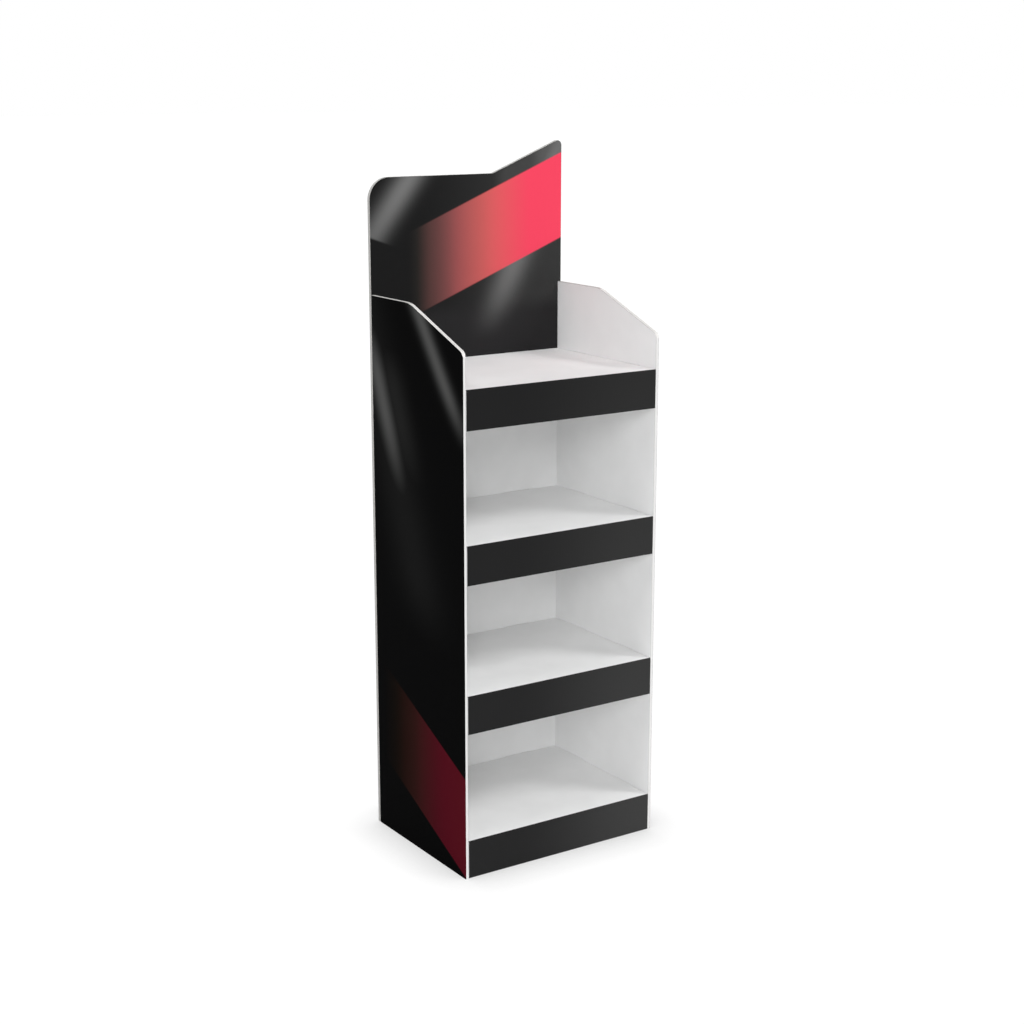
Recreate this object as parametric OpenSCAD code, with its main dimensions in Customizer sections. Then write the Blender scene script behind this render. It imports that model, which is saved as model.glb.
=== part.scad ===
// Free-standing shop display folded from corrugated board. A full-height back board carries the
// header at its top, two side walls are folded double round their front edges, four folded shelves
// hang by ears in slots, and folded braces and lapped ribs hold the decks up from below.

/* [Stand] */
// Clear width between the side walls
inner_w = 451.6; // [360:0.1:600]
// Depth of the side walls, from their front edges to the back board
side_d = 349; // [290:1:450]
// Height of the lowest deck above the floor
base_h = 80; // [60:1:120]
// Height from one deck to the next
deck_pitch = 305.2; // [240:0.1:380]

/* [Board] */
// Thickness of the board that the walls, shelves and supports are folded from
ply_t = 3.4; // [2.6:0.1:5]
// Thickness of the double-wall back board
back_t = 8; // [5:0.1:10]
// Gap between two plies that lie folded together
fold_gap = 0.4; // [0.2:0.1:1]
// Outer radius of a crease
crease_r = 2.2; // [1:0.1:2.5]

/* [Side walls] */
// Height of a side wall's level top above the top deck
shoulder_rise = 144.6; // [100:0.1:200]
// Fall from the level top to the front edge
shoulder_drop = 74; // [40:0.5:95]
// Distance from the front edge to the start of the level top
shoulder_run = 197; // [120:1:240]
// Radius between the level top and the slope
shoulder_top_r = 90; // [20:1:150]
// Radius between the slope and the front edge
shoulder_front_r = 14; // [4:0.5:30]

/* [Header] */
// Height of the header's level edge above the side walls
header_rise = 233.7; // [120:0.1:320]
// Further rise of the slanted edge at the right-hand end
slant_rise = 68.6; // [30:0.1:120]
// Distance of the slant's foot to the right of the centre
slant_start = 60; // [0:0.5:100]
// Radius of the upper left corner
header_left_r = 45; // [10:1:80]
// Radius of the raised tip
header_tip_r = 10; // [4:0.5:25]
// Radius at the foot of the slant
slant_foot_r = 14; // [5:1:150]

/* [Shelves] */
// Height of the front lip of the three upper shelves
lip_h = 80; // [55:1:110]
// Height of the side and rear flanges of the three upper shelves
flange_h = 45; // [35:1:55]
// Distance by which a lip's inner ply and the corner tabs stop short of the deck
tuck_gap = 1.5; // [0.5:0.1:3]
// Length of the glue tabs at the corners of a shelf
tab_w = 32; // [20:1:50]
// Length of the ears that carry a shelf in its slots
ear_w = 60; // [30:1:80]
// Distance between the two ears at each side of a shelf
side_ear_spacing = 180; // [120:1:200]
// Distance between the two ears at the rear of a shelf
rear_ear_spacing = 240; // [120:1:260]

/* [Supports] */
// Width of the glued feet of a deck brace
brace_foot = 22; // [12:1:35]
// Height of the webs of a deck brace, between its creases
brace_web = 24; // [12:1:26]
// Width of the bottom of a deck brace, between its creases
brace_w = 46; // [25:1:70]
// Distance of the two short base ribs from the centre
rib_spacing = 75; // [40:1:120]

/* [Fits] */
// Clearance between a shelf or support and what stands beside it
shelf_fit = 0.3; // [0.1:0.05:0.6]
// Clearance of an ear in its slot
slot_fit = 0.5; // [0.2:0.1:1]
// Clearance at each side of a lapped rib
lap_fit = 0.15; // [0.1:0.05:0.4]

/* [Hidden] */
$fn = 96;

// Board colours
print_black = "#1d1d1f";
board_white = "#f1f1ef";
board_plain = "#dedbd3";

// A cut tool reaches this far past the face that it opens
cut_over = 1;

// Part of a crease that is still the full thickness
crease_lap = ply_t - crease_r;

wall_t = 2 * ply_t + fold_gap;
stand_w = inner_w + 2 * wall_t;
front_y = -(side_d + back_t) / 2;
back_y = front_y + side_d;

// Deck heights from the floor up
deck_z = [for (level = [0:3]) base_h + level * deck_pitch];
side_h = deck_z[3] + shoulder_rise;
header_z = side_h + header_rise;

// A shelf's outer half width, rear face and middle
shelf_hw = inner_w / 2 - shelf_fit;
shelf_rear = back_y - shelf_fit;
shelf_depth = shelf_rear - front_y;
shelf_mid = (front_y + shelf_rear) / 2;

// How far an ear reaches out of a shelf, at the sides and at the rear
side_reach = shelf_fit + ply_t;
rear_reach = shelf_fit + back_t;

// Face of a lip's inner ply, and half the room between the side flanges
lip_back = front_y + wall_t;
support_hw = shelf_hw - ply_t - shelf_fit;

// Area between a corner and the arc of radius r that touches both of its edges, drawn a little past
// the corner
module corner_patch(before, corner, after, r) {
    a = (before - corner) / norm(before - corner);
    b = (after - corner) / norm(after - corner);
    half_angle = acos(a * b) / 2;
    reach = r / tan(half_angle);
    middle = (a + b) / norm(a + b);
    difference() {
        polygon([corner - middle * cut_over, corner + a * reach, corner + b * reach]);
        translate(corner + middle * r / sin(half_angle))
            circle(r);
    }
}

// Section of a 90 degree crease, rounded on its outside
module crease(to_left) {
    outside = to_left ? 0 : ply_t;
    difference() {
        square(ply_t);
        corner_patch([0, outside], [ply_t, outside], [ply_t, ply_t - outside], crease_r);
    }
}

// Section of a strip of board: straight runs along the path, with a crease to the left (1) or to
// the right (-1) after each. The board lies on the left of the path, and each run reaches into the
// square part of the creases at its ends.
module folded_strip(runs, turns, i = 0) {
    to_left = turns[i] == 1;
    start = i > 0 ? -crease_lap : 0;
    end = i < len(turns) ? runs[i] + crease_lap : runs[i];
    translate([start, 0])
        square([end - start, ply_t]);
    if (i < len(turns)) {
        translate([runs[i], 0])
            crease(to_left);
        translate(to_left ? [runs[i] + ply_t, ply_t] : [runs[i], 0])
            rotate(to_left ? 90 : -90)
                folded_strip(runs, turns, i + 1);
    }
}

// Stretches a section in the Y-Z plane to both sides of the centre
module across(width) {
    rotate([90, 0, 90])
        linear_extrude(width, center = true)
            children();
}

// The same shape at the left and at the right
module both_sides() {
    children();
    mirror([1, 0, 0])
        children();
}

// Places children at the two ears of an edge
module at_pair(spacing, along) {
    for (end = [-1, 1])
        translate(along * end * spacing / 2)
            children();
}

// Side wall on the left: one sheet, folded double round its front edge
module side_wall() {
    level_end = front_y + shoulder_run;
    front_h = side_h - shoulder_drop;
    foot = [front_y, 0];
    nose = [front_y, front_h];
    brow = [level_end, side_h];
    rear_top = [back_y, side_h];
    difference() {
        intersection() {
            translate([-stand_w / 2, back_y])
                linear_extrude(side_h)
                    rotate(-90)
                        folded_strip([side_d - ply_t, fold_gap, side_d - ply_t], [1, 1]);
            across(stand_w + 2 * cut_over)
                difference() {
                    polygon([foot, nose, brow, rear_top, [back_y, 0]]);
                    corner_patch(foot, nose, brow, shoulder_front_r);
                    corner_patch(nose, brow, rear_top, shoulder_top_r);
                }
        }
        for (z = deck_z)
            translate([-inner_w / 2, shelf_mid, z])
                at_pair(side_ear_spacing, [0, 1, 0])
                    side_slot();
    }
}

// Slot for a side ear, through the inner ply only
module side_slot() {
    length = ear_w + 2 * slot_fit;
    translate([-ply_t - fold_gap / 2, -length / 2, -ply_t])
        cube([ply_t + fold_gap / 2 + cut_over, length, ply_t + slot_fit]);
}

module left_side() {
    color(print_black)
        side_wall();
}

module right_side() {
    color(print_black)
        mirror([1, 0, 0])
            side_wall();
}

// Back board with the header's outline at its top and slots for the rear ears of the shelves
module back_board() {
    half_w = stand_w / 2;
    left_top = [-half_w, header_z];
    slant_foot = [slant_start, header_z];
    tip = [half_w, header_z + slant_rise];
    right_foot = [half_w, 0];
    color(board_white)
        difference() {
            translate([0, back_y + back_t, 0])
                rotate([90, 0, 0])
                    linear_extrude(back_t)
                        difference() {
                            union() {
                                polygon([[-half_w, 0], left_top, slant_foot, tip, right_foot]);
                                corner_patch(left_top, slant_foot, tip, slant_foot_r);
                            }
                            corner_patch([-half_w, 0], left_top, slant_foot, header_left_r);
                            corner_patch(slant_foot, tip, right_foot, header_tip_r);
                        }
            for (z = deck_z)
                translate([0, back_y, z])
                    at_pair(rear_ear_spacing, [1, 0, 0])
                        rear_slot();
        }
}

// Slot for a rear ear, right through the back board
module rear_slot() {
    length = ear_w + 2 * slot_fit;
    translate([-length / 2, -cut_over, -ply_t])
        cube([length, back_t + 2 * cut_over, ply_t + slot_fit]);
}

// Shelf folded from one sheet: rear flange, deck, front lip with its inner ply, and side flanges
// with glue tabs, with its deck's top face at z = 0
module shelf(lip, flange) {
    difference() {
        union() {
            across(2 * shelf_hw)
                translate([shelf_rear, -flange])
                    rotate(90)
                        folded_strip(
                            [flange - ply_t, shelf_depth - 2 * ply_t, lip - 2 * ply_t, fold_gap,
                                lip - 2 * ply_t - tuck_gap],
                            [1, 1, 1, 1]);
            both_sides()
                side_flange(flange);
        }
        both_sides()
            side_crease_cut();
        both_sides()
            translate([shelf_hw, shelf_mid, 0])
                at_pair(side_ear_spacing, [0, 1, 0])
                    translate([-ply_t - cut_over, -ear_w / 2, -ply_t - side_reach])
                        cube([ply_t + 2 * cut_over, ear_w, side_reach]);
        translate([0, shelf_rear, 0])
            at_pair(rear_ear_spacing, [1, 0, 0])
                translate([-ear_w / 2, -ply_t - cut_over, -ply_t - rear_reach])
                    cube([ear_w, ply_t + 2 * cut_over, rear_reach]);
    }
    both_sides()
        translate([shelf_hw, shelf_mid, 0])
            at_pair(side_ear_spacing, [0, 1, 0])
                translate([-ply_t, -ear_w / 2, -ply_t])
                    cube([ply_t + side_reach, ear_w, ply_t]);
    translate([0, shelf_rear, 0])
        at_pair(rear_ear_spacing, [1, 0, 0])
            translate([-ear_w / 2, -ply_t, -ply_t])
                cube([ear_w, ply_t + rear_reach, ply_t]);
}

// Side flange on the right, with a glue tab turned in behind the lip and another at the rear flange
module side_flange(flange) {
    tab_front = lip_back + fold_gap;
    tab_rear = shelf_rear - ply_t - fold_gap;
    straight = tab_rear - tab_front - 2 * ply_t;
    translate([0, 0, -flange])
        linear_extrude(flange - ply_t - tuck_gap)
            translate([shelf_hw - tab_w, tab_front])
                folded_strip([tab_w - ply_t, straight, tab_w - ply_t], [1, 1]);
    translate([shelf_hw - ply_t, tab_front + ply_t, -flange])
        cube([ply_t, straight, flange - crease_r]);
}

// Rounding of the crease between a deck and its side flange
module side_crease_cut() {
    translate([shelf_hw, shelf_rear - ply_t, 0])
        rotate([90, 0, 0])
            linear_extrude(shelf_depth - 2 * ply_t)
                corner_patch([-ply_t, 0], [0, 0], [0, -ply_t], crease_r);
}

module base_shelf() {
    color(board_white)
        translate([0, 0, deck_z[0]])
            shelf(base_h, base_h);
}

module lower_shelf() {
    color(board_white)
        translate([0, 0, deck_z[1]])
            shelf(lip_h, flange_h);
}

module upper_shelf() {
    color(board_white)
        translate([0, 0, deck_z[2]])
            shelf(lip_h, flange_h);
}

module top_shelf() {
    color(board_white)
        translate([0, 0, deck_z[3]])
            shelf(lip_h, flange_h);
}

// Brace folded to a hat section, glued by its feet under the middle of a deck
module deck_brace() {
    span = 2 * (brace_foot + ply_t) + brace_w;
    across(2 * support_hw)
        translate([shelf_mid - span / 2, -2 * ply_t])
            folded_strip(
                [brace_foot, brace_web, brace_w, brace_web, brace_foot],
                [-1, 1, 1, -1]);
}

module lower_brace() {
    color(board_plain)
        translate([0, 0, deck_z[1]])
            deck_brace();
}

module upper_brace() {
    color(board_plain)
        translate([0, 0, deck_z[2]])
            deck_brace();
}

module top_brace() {
    color(board_plain)
        translate([0, 0, deck_z[3]])
            deck_brace();
}

// Notch of a half lap: the rib that crosses is ply_t thick
module lap_notch(height) {
    translate([-ply_t / 2 - lap_fit, 0])
        square([ply_t + 2 * lap_fit, height + cut_over]);
}

// Rib across the base, notched from above
module base_rib_long() {
    rib_h = base_h - ply_t;
    color(board_plain)
        translate([0, shelf_mid + ply_t / 2, 0])
            rotate([90, 0, 0])
                linear_extrude(ply_t)
                    difference() {
                        translate([-support_hw, 0])
                            square([2 * support_hw, rib_h]);
                        for (end = [-1, 1])
                            translate([end * rib_spacing, rib_h / 2])
                                lap_notch(rib_h / 2);
                    }
}

// Rib from the lip to the rear flange, notched from below
module base_rib(x) {
    rib_h = base_h - ply_t;
    rib_front = lip_back + shelf_fit;
    rib_rear = shelf_rear - ply_t - shelf_fit;
    color(board_plain)
        translate([x, 0, 0])
            across(ply_t)
                difference() {
                    translate([rib_front, 0])
                        square([rib_rear - rib_front, rib_h]);
                    translate([shelf_mid, -cut_over])
                        lap_notch(rib_h / 2);
                }
}

module base_rib_left() {
    base_rib(-rib_spacing);
}

module base_rib_right() {
    base_rib(rib_spacing);
}

back_board();
left_side();
right_side();
base_shelf();
lower_shelf();
upper_shelf();
top_shelf();
lower_brace();
upper_brace();
top_brace();
base_rib_long();
base_rib_left();
base_rib_right();
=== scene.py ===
"""Looks of a shop display stand in printed corrugated board.

The CAD nodes get board and print materials, fine cut edges are added to them, and a floor, lamps and the
camera of the photograph are set up. Lengths are in metres.
"""

import math

import bmesh
import bpy
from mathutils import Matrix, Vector


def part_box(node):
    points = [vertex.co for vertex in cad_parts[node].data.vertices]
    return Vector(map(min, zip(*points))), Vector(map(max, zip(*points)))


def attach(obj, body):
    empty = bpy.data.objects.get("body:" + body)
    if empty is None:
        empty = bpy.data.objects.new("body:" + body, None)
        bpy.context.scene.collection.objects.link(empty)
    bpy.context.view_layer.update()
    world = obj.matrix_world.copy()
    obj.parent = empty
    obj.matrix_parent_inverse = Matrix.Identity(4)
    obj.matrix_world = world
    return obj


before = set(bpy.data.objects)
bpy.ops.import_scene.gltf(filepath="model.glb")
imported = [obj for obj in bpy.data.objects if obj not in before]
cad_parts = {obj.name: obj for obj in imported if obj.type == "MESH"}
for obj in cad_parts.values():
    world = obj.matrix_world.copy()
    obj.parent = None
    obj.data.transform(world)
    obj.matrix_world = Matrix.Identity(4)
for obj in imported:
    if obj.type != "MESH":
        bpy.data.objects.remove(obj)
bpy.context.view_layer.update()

MM = 0.001

# Camera: eye point, view direction and lens of the photograph
EYE = Vector((-2.02177, -3.06532, 1.58230))
LOOK = Vector((0.53430, 0.81189, -0.23528))
LENS = 64.195
SENSOR = 36.0

# Light: soft lamps as (name, azimuth from the front to the right, elevation, strength), angles in degrees
LAMPS = [
    ("key_right", 45, 42, 0.350),
    ("front_high", -5, 42, 0.140),
    ("fill_left", -30, 25, 0.256),
    ("front_low", -30, 10, 0.062),
    ("side_low", -55, 10, 0.097),
    ("side_high", -80, 62, 0.158),
    ("rear", 180, 30, 0.350),
]
LAMP_SPREAD = 20
LIGHT_WHITE = (1.0, 1.0, 1.0)

# Sky: its strength as a light, and as the camera sees it
SKY = 0.30
BACKDROP = 1.0

# Floor: its glow close to the stand, what open floor adds, the reach of that shade, and half its width
FLOOR_GLOW = 0.40
OPEN_GLOW = 0.55
CONTACT = 0.11
FLOOR_HALF = 60.0

# Finishes as (roughness, specular level)
LINER_FINISH = (0.62, 0.25)
CUT_FINISH = (0.85, 0.1)
SIDE_FINISH = (0.5, 0.004)
FRONT_FINISH = (0.45, 0.1)
FLOOR_FINISH = (0.8, 0.1)

# Colours, linear
WHITE = (0.887, 0.890, 0.891)
# Front folds: a darker copy of the board white, as painted shade
FOLD_SHADE_WHITE = (0.70, 0.70, 0.695)
EDGE_WHITE = (0.86, 0.85, 0.83)
# Cut edges: painted shade in the flute hollows, lighter on slopes, darker on level tops, darkest on rims
SLOPE_HOLLOW_SHADE = (0.80, 0.79, 0.775)
LEVEL_HOLLOW_SHADE = (0.47, 0.46, 0.445)
RIM_HOLLOW_SHADE = (0.33, 0.325, 0.315)
PLAIN = (0.62, 0.59, 0.54)
FLOOR = (0.90, 0.90, 0.90)
FLOOR_SEEN = (0.08, 0.08, 0.08)
SIDE_BLACK = (0.0022, 0.0022, 0.0023)
STREAK_GREY = (0.076, 0.076, 0.075)
HEADER_BLACK = (0.0055, 0.0055, 0.0057)
HEADER_GREY = (0.028, 0.028, 0.028)
HEADER_FOOT = (0.0155, 0.0150, 0.0158)
SWOOSH_GREY = (0.142, 0.142, 0.141)

# Lips: colours at the left and right end, at the top deck's height and at the floor, with a painted
# reflection
TOP_LIP_WITH_REFLECTION = [(0.0085, 0.0085, 0.0088), (0.0165, 0.0165, 0.0165)]
FOOT_LIP_WITH_REFLECTION = [(0.0125, 0.0125, 0.0128), (0.037, 0.037, 0.037)]

# Bands: colours by the distance from a side wall's front edge, and by the place across the header
BURGUNDY_STOPS = [
    (0.02, (0.0800, 0.0046, 0.0104)),
    (0.10, (0.0680, 0.0044, 0.0098)),
    (0.18, (0.0330, 0.0070, 0.0070)),
    (0.25, (0.0110, 0.0045, 0.0032)),
    (0.32, SIDE_BLACK),
]
CORAL_STOPS = [
    (-0.125, (0.024, 0.020, 0.017)),
    (-0.040, (0.216, 0.059, 0.059)),
    (0.050, (0.555, 0.090, 0.093)),
    (0.155, (0.790, 0.051, 0.101)),
]

# Names and places taken from the frame; a side wall's number is the sign of x on its side
SIDES = {"left_side": -1, "right_side": 1}
SHELVES = ("base_shelf", "lower_shelf", "upper_shelf", "top_shelf")
BRACES = ("lower_brace", "upper_brace", "top_brace")
RIBS = ("base_rib_long", "base_rib_left", "base_rib_right")
SIDE_LOW, SIDE_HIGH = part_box("left_side")
BACK_LOW, BACK_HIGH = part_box("back_board")
DECK_Z = [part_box(name)[1].z for name in SHELVES]
TOP_DECK = DECK_Z[-1]
FRONT_Y = SIDE_LOW.y
BACK_Y = BACK_LOW.y
REAR_Y = BACK_HIGH.y
HALF_W = BACK_HIGH.x

# Numbers of a Mix node's colour sockets, which share their names with its sockets for other data
MIX_A, MIX_B, MIX_RESULT = 6, 7, 2


class Graph:
    """A material under construction, with short calls for its nodes."""

    def __init__(self, name, finish):
        roughness, specular = finish
        self.material = bpy.data.materials.new(name)
        self.material.use_nodes = True
        self.tree = self.material.node_tree
        self.shader = self.tree.nodes["Principled BSDF"]
        self.shader.inputs["Roughness"].default_value = roughness
        self.shader.inputs["Specular IOR Level"].default_value = specular
        self.place = self.node("ShaderNodeTexCoord").outputs["Object"]
        split = self.node("ShaderNodeSeparateXYZ")
        self.tree.links.new(self.place, split.inputs[0])
        self.x, self.y, self.z = split.outputs

    def node(self, kind, **settings):
        made = self.tree.nodes.new(kind)
        for name, value in settings.items():
            setattr(made, name, value)
        return made

    def feed(self, socket, value):
        """Links a node's output to a socket, or sets a plain number or colour on it."""
        if isinstance(value, bpy.types.NodeSocket):
            self.tree.links.new(value, socket)
        elif isinstance(value, tuple):
            socket.default_value = (*value, 1.0)
        else:
            socket.default_value = value

    def math(self, operation, a, b=0.0):
        made = self.node("ShaderNodeMath", operation=operation)
        self.feed(made.inputs[0], a)
        self.feed(made.inputs[1], b)
        return made.outputs[0]

    def line(self, terms, offset=0.0):
        """Sum of values, each times its factor, plus an offset."""
        total = offset
        for value, factor in terms:
            total = self.math("ADD", self.math("MULTIPLY", value, factor), total)
        return total

    def product(self, *factors):
        total = factors[0]
        for factor in factors[1:]:
            total = self.math("MULTIPLY", total, factor)
        return total

    def highest(self, *values):
        top = values[0]
        for value in values[1:]:
            top = self.math("MAXIMUM", top, value)
        return top

    def step(self, value, low, high):
        """Smooth rise from 0 at low to 1 at high, also where low is above high."""
        made = self.node("ShaderNodeMapRange", interpolation_type="SMOOTHSTEP")
        rising = low < high
        self.feed(made.inputs["Value"], value)
        made.inputs["From Min"].default_value = min(low, high)
        made.inputs["From Max"].default_value = max(low, high)
        made.inputs["To Min"].default_value = 0.0 if rising else 1.0
        made.inputs["To Max"].default_value = 1.0 if rising else 0.0
        return made.outputs[0]

    def hill(self, value, width):
        """Bell curve that is 1 where value is 0."""
        ratio = self.math("DIVIDE", value, width)
        return self.math("EXPONENT", self.product(ratio, ratio, -1.0))

    def mix(self, factor, a, b):
        """Colour a where the factor is 0, and b where it is 1."""
        made = self.node("ShaderNodeMix", data_type="RGBA")
        self.feed(made.inputs[0], factor)
        self.feed(made.inputs[MIX_A], a)
        self.feed(made.inputs[MIX_B], b)
        return made.outputs[MIX_RESULT]

    def ramp(self, value, stops):
        """Colours at places along a coordinate, blended between them."""
        first, last = stops[0][0], stops[-1][0]
        span = self.node("ShaderNodeMapRange")
        self.feed(span.inputs["Value"], value)
        span.inputs["From Min"].default_value = first
        span.inputs["From Max"].default_value = last
        made = self.node("ShaderNodeValToRGB")
        made.color_ramp.interpolation = "CARDINAL"
        points = made.color_ramp.elements
        while len(points) < len(stops):
            points.new(0.5)
        for point, (place, colour) in zip(points, stops):
            point.position = (place - first) / (last - first)
            point.color = (*colour, 1.0)
        self.tree.links.new(span.outputs[0], made.inputs[0])
        return made.outputs[0]

    def noise(self, scale, detail):
        made = self.node("ShaderNodeTexNoise")
        made.inputs["Scale"].default_value = scale
        made.inputs["Detail"].default_value = detail
        self.tree.links.new(self.place, made.inputs["Vector"])
        return made.outputs[0]

    def colour(self, value):
        self.feed(self.shader.inputs["Base Color"], value)

    def bump(self, height, distance):
        made = self.node("ShaderNodeBump")
        made.inputs["Distance"].default_value = distance
        self.feed(made.inputs["Height"], height)
        self.tree.links.new(made.outputs[0], self.shader.inputs["Normal"])


# Board surfaces: relief of flutes and fibre, noises as (scale, detail), and the shade of darker parts

FLUTE_PITCH = 7.2 * MM
RELIEF = 0.05 * MM
CUT_RELIEF = 2 * RELIEF
FLUTE_SHARE = 0.35
FIBRE_SHARE = 0.5
FIBRE = (900.0, 3.0)
CUT_FIBRE = (1400.0, 4.0)
CLOUDS = (14.0, 4.0)
CLOUD_RANGE = (0.3, 0.7)
CLOUD_SHADE = 0.97
CUT_SHADE = 0.85


def shaded(base, shade):
    return tuple(channel * shade for channel in base)


def board_surface(graph, across):
    """Faint waves of the flutes under the liner, with paper fibre on top."""
    wave = graph.math("SINE", graph.math("MULTIPLY", across, 2 * math.pi / FLUTE_PITCH))
    fibre = graph.noise(*FIBRE)
    graph.bump(graph.line([(wave, FLUTE_SHARE), (fibre, FIBRE_SHARE)]), RELIEF)


def paper(graph, base):
    """A base colour with the cloudiness of paper."""
    cloud = graph.step(graph.noise(*CLOUDS), *CLOUD_RANGE)
    return graph.mix(cloud, shaded(base, CLOUD_SHADE), base)


def board(name, base, across):
    """Unprinted liner; across is the axis that the flutes follow one another along."""
    graph = Graph(name, LINER_FINISH)
    board_surface(graph, {"x": graph.x, "y": graph.y}[across])
    graph.colour(paper(graph, base))
    return graph.material


def cut_paper(name, base):
    """Rough fibre where the board is cut."""
    graph = Graph(name, CUT_FINISH)
    fibre = graph.noise(*CUT_FIBRE)
    graph.colour(graph.mix(fibre, shaded(base, CUT_SHADE), base))
    graph.bump(fibre, CUT_RELIEF)
    return graph.material


# Slanted bands: upper and lower line, each as (height where across is 0, slope)

SIDE_BAND = [(0.2133, 0.485), (0.0035, 0.485)]
HEADER_BAND = [(1.3192, 0.4035), (1.1431, 0.3926)]
BAND_BLUR = 2.2 * MM


def above_line(graph, across, line, blur=BAND_BLUR):
    """1 above a slanted line and 0 below it."""
    height, slope = line
    return graph.step(graph.line([(graph.z, 1.0), (across, -slope)], -height), -blur, blur)


def band_mask(graph, across, band):
    """1 between the upper and the lower line of a band."""
    upper, lower = [above_line(graph, across, line) for line in band]
    return graph.math("SUBTRACT", lower, upper)


def streak(graph, across, core, lean, width):
    """Soft streak of light: core is a point (across, height) on its middle, lean its shift per height."""
    middle = core[0] - lean * core[1]
    return graph.hill(graph.line([(across, 1.0), (graph.z, -lean)], -middle), width)


# Side walls: print and a painted sheen, as streaks that come in over the heights of rise and go out over
# those of fall

REAR_LEAN = 0.401
FRONT_LEAN = 0.73
REAR_STREAK = dict(core=(0.3433, 1.0173), lean=REAR_LEAN, width=0.029, rise=(0.71, 0.92), fall=(0.97, 1.12))
REAR_HAZE = dict(core=(0.265, 0.960), lean=REAR_LEAN, width=0.045, rise=(0.72, 0.90), fall=(0.96, 1.08),
                 share=0.16)
# A broad, faint painted sheen over the middle of the wall
MID_WALL_SHEEN = dict(core=(0.350, 1.0173), lean=REAR_LEAN, width=0.080, rise=(0.44, 0.60), share=0.085)
FRONT_STREAK = dict(core=(0.1578, 1.1190), lean=FRONT_LEAN, width=0.0235, rise=(0.86, 1.00))


def wall_streak(graph, depth, core, lean, width, rise, fall=None, share=1.0):
    """A streak on a side wall, with its share of the lightest grey."""
    parts = [streak(graph, depth, core, lean, width), graph.step(graph.z, *rise)]
    if fall:
        start, end = fall
        parts.append(graph.step(graph.z, end, start))
    return graph.product(*parts, share)


def side_print():
    """Matt black with two printed soft streaks of light, a broad painted sheen and a burgundy band that rises
    to the rear.
    """
    graph = Graph("side_print", SIDE_FINISH)
    depth = graph.math("SUBTRACT", graph.y, FRONT_Y)
    looks = (REAR_STREAK, REAR_HAZE, MID_WALL_SHEEN, FRONT_STREAK)
    streaks = [wall_streak(graph, depth, **look) for look in looks]
    field = graph.mix(graph.highest(*streaks), SIDE_BLACK, STREAK_GREY)
    band = band_mask(graph, depth, SIDE_BAND)
    graph.colour(graph.mix(band, field, graph.ramp(depth, BURGUNDY_STOPS)))
    board_surface(graph, graph.y)
    return graph.material


# Print of the header: a streak that turns at a fold, a lighter crest, and the ranges over which tones change

UPPER_SWOOSH = dict(core=(-0.1718, 1.3279), lean=0.766, width=0.033)
LOWER_SWOOSH = dict(core=(0.1039, 1.1661), lean=0.48, width=0.036)
SWOOSH_FOLD = (1.169, -0.37)
FOLD_BLUR = 3 * MM
UPPER_RISE = (1.22, 1.36)
UPPER_SHARE = 0.65
LOWER_RISE = (1.02, 1.18)
LOWER_SHARE = 0.88
CREST_RISES = [((0.055, 0.095), 0.17), ((0.15, 0.19), 0.29)]
GREY_RANGE = (-0.15, 0.22)
FOOT_RANGE = (1.125, 1.075)
BAND_START = (-0.15, -0.09)
PRINT_BLUR = 0.2 * MM


def header_print():
    """Black header with a coral band along its slanted edge, above the white rear wall of the bays."""
    graph = Graph("header_print", FRONT_FINISH)
    upper = graph.product(
        streak(graph, graph.x, **UPPER_SWOOSH),
        above_line(graph, graph.x, SWOOSH_FOLD, FOLD_BLUR),
        graph.line([(graph.step(graph.z, *UPPER_RISE), 1 - UPPER_SHARE)], UPPER_SHARE))
    lower = graph.product(
        streak(graph, graph.x, **LOWER_SWOOSH),
        graph.step(graph.z, *LOWER_RISE),
        LOWER_SHARE)
    crest = graph.product(
        above_line(graph, graph.x, HEADER_BAND[0]),
        graph.line([(graph.step(graph.x, *rise), share) for rise, share in CREST_RISES]))
    ground = graph.mix(graph.step(graph.x, *GREY_RANGE), HEADER_BLACK, HEADER_GREY)
    ground = graph.mix(graph.step(graph.z, *FOOT_RANGE), ground, HEADER_FOOT)
    field = graph.mix(graph.highest(upper, lower, crest), ground, SWOOSH_GREY)
    band = graph.product(band_mask(graph, graph.x, HEADER_BAND), graph.step(graph.x, *BAND_START))
    printed = graph.mix(band, field, graph.ramp(graph.x, CORAL_STOPS))
    above = graph.step(graph.z, TOP_DECK - PRINT_BLUR, TOP_DECK + PRINT_BLUR)
    graph.colour(graph.mix(above, paper(graph, WHITE), printed))
    board_surface(graph, graph.x)
    return graph.material


# Print of the lips, with a painted reflection that lightens them across this range

LIP_REFLECTION_RANGE = (-0.12, 0.20)


def fascia_print_and_reflection():
    """Charcoal print on the lips, lighter to the right and more so on the lower ones by a painted reflection.
    """
    graph = Graph("fascia_print_and_reflection", FRONT_FINISH)
    height = graph.math("DIVIDE", graph.z, TOP_DECK)
    left, right = [graph.mix(height, foot, top) for foot, top in zip(FOOT_LIP_WITH_REFLECTION, TOP_LIP_WITH_REFLECTION)]
    graph.colour(graph.mix(graph.step(graph.x, *LIP_REFLECTION_RANGE), left, right))
    board_surface(graph, graph.x)
    return graph.material


# Dressing of the boards: the depth of the front folds, limits for parts of a face's normal, and the places of
# the materials in the lists below

CREASE = 2.3 * MM
UPRIGHT = 0.1
LEVEL = 0.985
PRINT_WRAP = 0.36
RIM_TURN = 0.5
REARWARD = 0.9
FORWARD = -0.05
BARE, PRINT, RIM = range(3)
TOP_CUT, SLOPE_CUT, FOLD = range(2, 5)


def dress(name, materials, choose):
    """Gives a node its materials and picks one for each face by the face's middle and normal."""
    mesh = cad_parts[name].data
    mesh.materials.clear()
    for material in materials:
        mesh.materials.append(material)
    for face in mesh.polygons:
        face.material_index = choose(face.center, face.normal)


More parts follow.
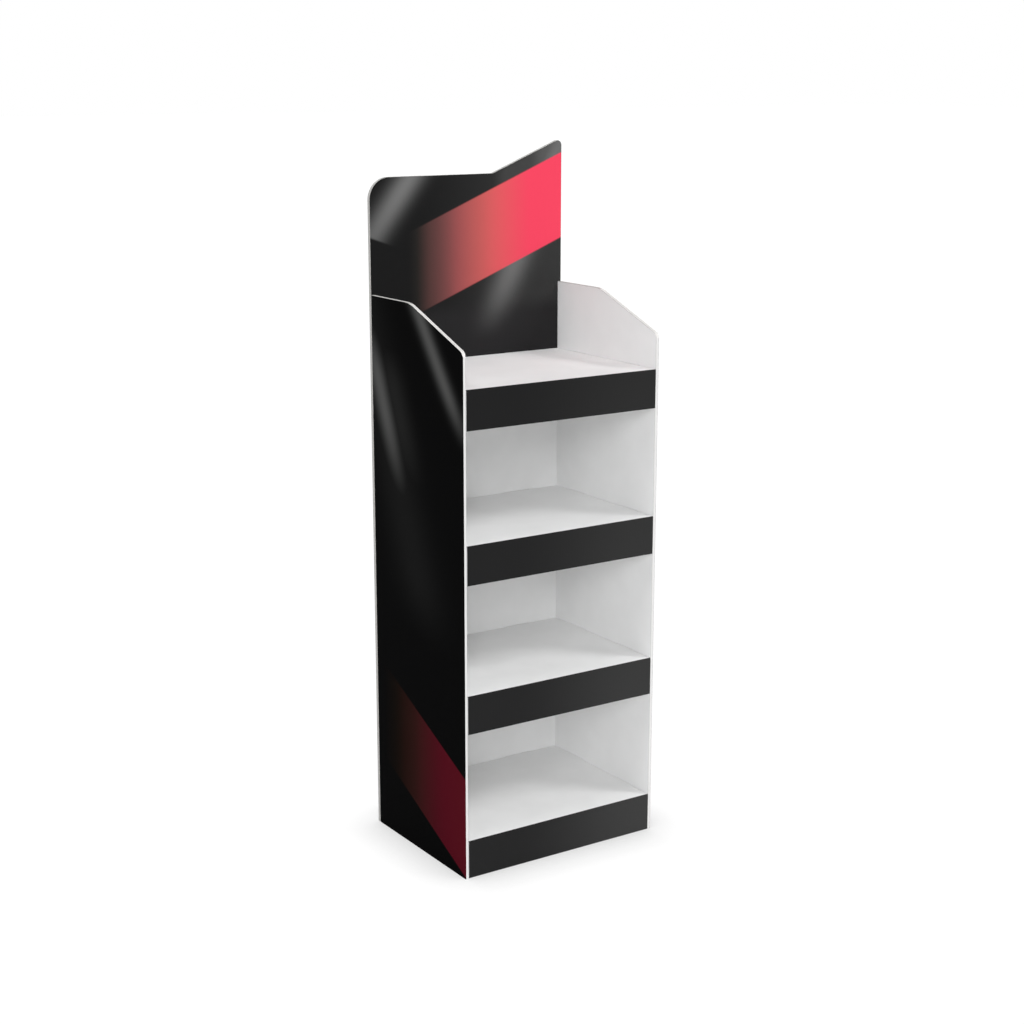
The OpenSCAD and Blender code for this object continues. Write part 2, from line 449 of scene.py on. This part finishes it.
def side_face(middle, normal):
    if abs(normal.z) > UPRIGHT:
        return TOP_CUT if normal.z > LEVEL else SLOPE_CUT
    if abs(middle.x) > HALF_W - CREASE and normal.x * middle.x > 0 and abs(normal.x) > PRINT_WRAP:
        return PRINT
    return FOLD if middle.y < FRONT_Y + CREASE else BARE


def back_face(middle, normal):
    if abs(normal.y) < RIM_TURN:
        return RIM
    return PRINT if normal.y < 0 else BARE


def shelf_face(middle, normal):
    if normal.y > REARWARD and middle.y > REAR_Y - MM:
        return RIM
    return PRINT if middle.y < FRONT_Y + CREASE and normal.y < FORWARD else BARE


wall_white = board("wall_white", WHITE, "y")
# The front folds' board white, darkened as painted shade
fold_white_shade = board("fold_white_shade", FOLD_SHADE_WHITE, "y")
deck_white = board("deck_white", WHITE, "x")
plain = board("plain_board", PLAIN, "y")
# Cut edges whose flute hollows carry painted shade
rim_cut_shade = cut_paper("rim_cut_shade", RIM_HOLLOW_SHADE)
top_cut_shade = cut_paper("top_cut_shade", LEVEL_HOLLOW_SHADE)
slope_cut_shade = cut_paper("slope_cut_shade", SLOPE_HOLLOW_SHADE)
liner_ends = cut_paper("liner_ends", EDGE_WHITE)

side_looks = [wall_white, side_print(), top_cut_shade, slope_cut_shade, fold_white_shade]
for name in SIDES:
    dress(name, side_looks, side_face)
dress("back_board", [deck_white, header_print(), rim_cut_shade], back_face)
shelf_looks = [deck_white, fascia_print_and_reflection(), rim_cut_shade]
for name in SHELVES:
    dress(name, shelf_looks, shelf_face)
for name in BRACES + RIBS:
    dress(name, [plain], lambda middle, normal: BARE)


# Cut edges: liners and wavy flutes that stand a hair proud of each cut

FOLD_GAP = 0.4 * MM
LINER = 0.35 * MM
MEDIUM = 0.30 * MM
PROUD = 0.15 * MM
SUNK = 0.40 * MM
WAVE_STEP = 0.6 * MM
TOUCH = 0.01 * MM
DECIMALS = 5
PLY = (SIDE_HIGH.x - SIDE_LOW.x - FOLD_GAP) / 2
BACK_PLY = (REAR_Y - BACK_Y) / 2


def add(name, data):
    made = bpy.data.objects.new(name, data)
    bpy.context.scene.collection.objects.link(made)
    return made


def outline(name, keep, flat):
    """Corners of a board's outline as flat points, from the vertices that keep lets through."""
    corners = [vertex.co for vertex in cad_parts[name].data.vertices if keep(vertex.co)]
    return {tuple(round(value, DECIMALS) for value in flat(corner)) for corner in corners}


def normals_of(points):
    """Unit normals to the left of a path, averaged at its corners."""
    normals = []
    for before, after in zip(points[:1] + points[:-1], points[1:] + points[-1:]):
        run = (after - before).normalized()
        normals.append(Vector((-run.y, run.x)))
    return normals


def across_flutes(path):
    """The path with points added where it runs across the flutes."""
    points = path[:1]
    for start, end in zip(path, path[1:]):
        count = max(1, math.ceil(abs(end.x - start.x) / WAVE_STEP))
        points += [start.lerp(end, (i + 1) / count) for i in range(count)]
    return points


def ribbon(mesh, path, depth_at, thickness, place):
    """Closed strip along a path, from below the cut to just above it."""
    rings = []
    for point, normal in zip(path, normals_of(path)):
        foot, head = point - normal * SUNK, point + normal * PROUD
        near = depth_at(point) - thickness / 2
        far = near + thickness
        corners = [(foot, near), (foot, far), (head, far), (head, near)]
        rings.append([mesh.verts.new(place(*spot, depth)) for spot, depth in corners])
    for ring, following in zip(rings, rings[1:]):
        for i in range(len(ring)):
            j = (i + 1) % len(ring)
            mesh.faces.new((ring[i], ring[j], following[j], following[i]))
    mesh.faces.new(rings[0])
    mesh.faces.new(rings[-1])


def ply_edge(mesh, path, face, thickness, place):
    """One ply's cut edge: two liners with a wave between them; face is the depth of its outer face."""
    middle = face + thickness / 2
    swing = thickness / 2 - LINER - MEDIUM / 2

    def wave(point):
        return middle + swing * math.sin(2 * math.pi * point.x / FLUTE_PITCH)

    for liner in (face + LINER / 2, face + thickness - LINER / 2):
        ribbon(mesh, path, lambda point: liner, LINER, place)
    ribbon(mesh, across_flutes(path), wave, MEDIUM, place)


def finish_edge(name, mesh):
    """Makes a piece of a cut edge and puts it on the stand."""
    bmesh.ops.recalc_face_normals(mesh, faces=mesh.faces)
    data = bpy.data.meshes.new(name)
    mesh.to_mesh(data)
    mesh.free()
    data.materials.append(liner_ends)
    piece = add(name, data)
    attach(piece, "root")


def side_edge(name, hand):
    """Top edge of a doubled side wall, from the front fold to the back board."""
    def on_top(co):
        return abs(co.x) > HALF_W - TOUCH and co.z > TOP_DECK and co.y > FRONT_Y + 2 * CREASE

    mesh = bmesh.new()
    path = [Vector(point) for point in sorted(outline(name, on_top, lambda co: (co.y, co.z)))]
    for face in (0, PLY + FOLD_GAP):
        ply_edge(mesh, path, face, PLY, lambda y, z, depth: (hand * (HALF_W - depth), y, z))
    finish_edge(name + "_edge", mesh)


def back_edge():
    """Left, top and right edge of the back board, a double-wall board."""
    def on_rim(co):
        return co.y < BACK_Y + TOUCH and (abs(co.x) > HALF_W - TOUCH or co.z > SIDE_HIGH.z)

    def up_and_down(point):
        x, z = point
        return (x, z if x < 0 else -z)

    mesh = bmesh.new()
    points = sorted(outline("back_board", on_rim, lambda co: (co.x, co.z)), key=up_and_down)
    path = [Vector(point) for point in points]
    for face in (0, BACK_PLY):
        ply_edge(mesh, path, face, BACK_PLY, lambda x, z, depth: (x, BACK_Y + depth, z))
    finish_edge("back_board_edge", mesh)


def ear_edges(name, deck):
    """Ends of a shelf's ears, flush with the rear of the back board."""
    mesh = bmesh.new()
    ends = sorted(outline(name, lambda co: co.y > REAR_Y - TOUCH, lambda co: (co.x, co.y)))
    for left, right in zip(ends[::2], ends[1::2]):
        ply_edge(mesh, [Vector(left), Vector(right)], 0, PLY, lambda x, y, depth: (x, y, deck - depth))
    finish_edge(name + "_ear_edges", mesh)


for name, hand in SIDES.items():
    side_edge(name, hand)
back_edge()
for name, deck in zip(SHELVES, DECK_Z):
    ear_edges(name, deck)


# Floor, light and camera

def floor():
    """White floor that the camera sees glow, with soft shade where the stand meets it."""
    half = FLOOR_HALF
    corners = [(-half, -half, 0), (half, -half, 0), (half, half, 0), (-half, half, 0)]
    mesh = bpy.data.meshes.new("floor")
    mesh.from_pydata(corners, [], [(0, 1, 2, 3)])
    graph = Graph("floor", FLOOR_FINISH)
    seen = graph.node("ShaderNodeLightPath").outputs["Is Camera Ray"]
    graph.colour(graph.mix(seen, paper(graph, FLOOR), FLOOR_SEEN))
    nearby = graph.node("ShaderNodeAmbientOcclusion", samples=1)
    nearby.inputs["Distance"].default_value = CONTACT
    glow = graph.line([(nearby.outputs["AO"], OPEN_GLOW)], FLOOR_GLOW)
    graph.feed(graph.shader.inputs["Emission Strength"], graph.product(seen, glow))
    graph.feed(graph.shader.inputs["Emission Color"], LIGHT_WHITE)
    mesh.materials.append(graph.material)
    add("floor", mesh)


def lamp(name, azimuth, elevation, strength):
    """A distant lamp; its strength is how bright it makes a white board that faces it."""
    turn, lift = math.radians(azimuth), math.radians(elevation)
    outward = Vector((math.sin(turn) * math.cos(lift), -math.cos(turn) * math.cos(lift), math.sin(lift)))
    light = bpy.data.lights.new(name, "SUN")
    light.angle = math.radians(LAMP_SPREAD)
    light.energy = strength * math.pi
    add(name, light).rotation_euler = outward.to_track_quat("Z", "Y").to_euler()


def sky():
    """Even white sky that is brighter to the camera than as a light."""
    world = bpy.data.worlds.new("sky")
    bpy.context.scene.world = world
    world.use_nodes = True
    tree = world.node_tree
    background = tree.nodes["Background"]
    path = tree.nodes.new("ShaderNodeLightPath")
    strength = tree.nodes.new("ShaderNodeMapRange")
    strength.inputs["To Min"].default_value = SKY
    strength.inputs["To Max"].default_value = BACKDROP
    tree.links.new(path.outputs["Is Camera Ray"], strength.inputs["Value"])
    tree.links.new(strength.outputs[0], background.inputs["Strength"])
    background.inputs["Color"].default_value = (*LIGHT_WHITE, 1.0)


def camera():
    lens = bpy.data.cameras.new("camera")
    lens.lens = LENS
    lens.sensor_width = SENSOR
    made = add("camera", lens)
    made.location = EYE
    made.rotation_euler = LOOK.to_track_quat("-Z", "Y").to_euler()
    bpy.context.scene.camera = made


floor()
sky()
for settings in LAMPS:
    lamp(*settings)
camera()
bpy.context.scene.view_settings.view_transform = "Standard"
